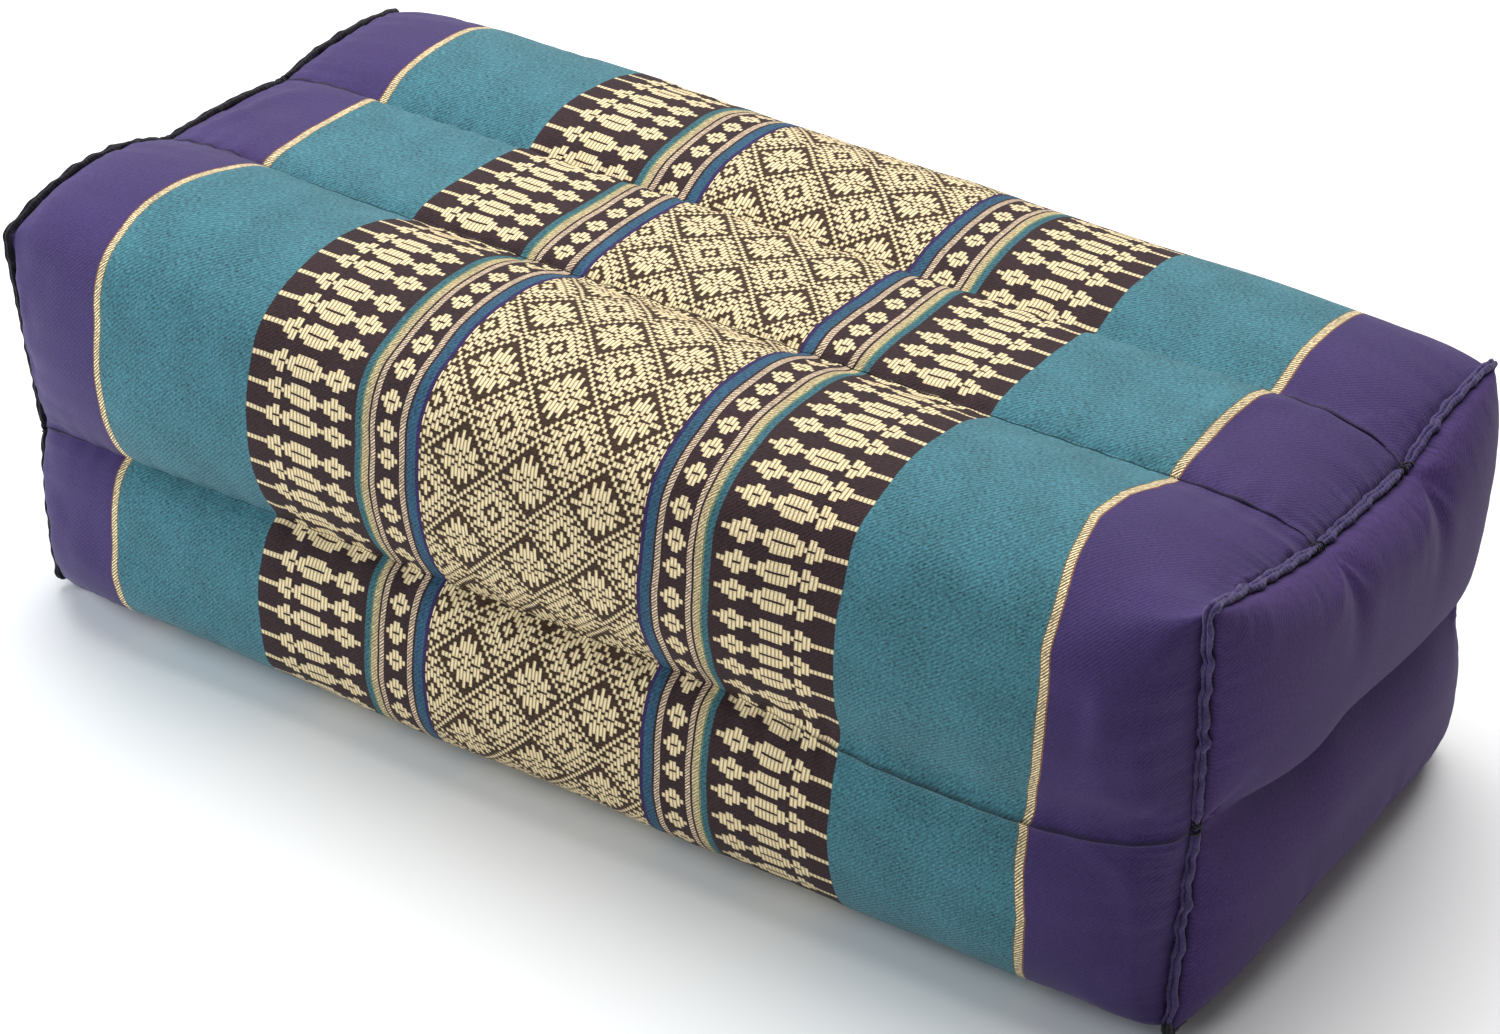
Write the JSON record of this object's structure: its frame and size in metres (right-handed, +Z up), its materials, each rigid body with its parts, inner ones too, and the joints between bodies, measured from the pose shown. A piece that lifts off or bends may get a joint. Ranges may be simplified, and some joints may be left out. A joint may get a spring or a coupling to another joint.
{
  "type": "meditation cushion",
  "caption": "Firm block cushion of stuffed lengthwise tubes in patterned woven cloth, with plain sewn end panels, for sitting or kneeling on a floor.",
  "frame": {"origin": "on the surface that the cushion lies on, under the middle of its box", "axes": "+X along the cushion towards its right end, -Y its long front side, +Z up"},
  "size_m": [0.378, 0.194, 0.1306],
  "materials": {
    "wrap_cloth": "teal and purple plain cotton with a cream supplementary-weft pattern across the middle",
    "end_cloth": "plain purple cotton, matt",
    "edging_thread": "dark overcast seam allowance"
  },
  "bodies": {
    "root": {"cushion_body": "wrap_cloth", "end_panel_left": "end_cloth", "end_panel_right": "end_cloth", "end_seam_left": "edging_thread", "end_seam_right": "edging_thread"}
  },
  "joints": []
}
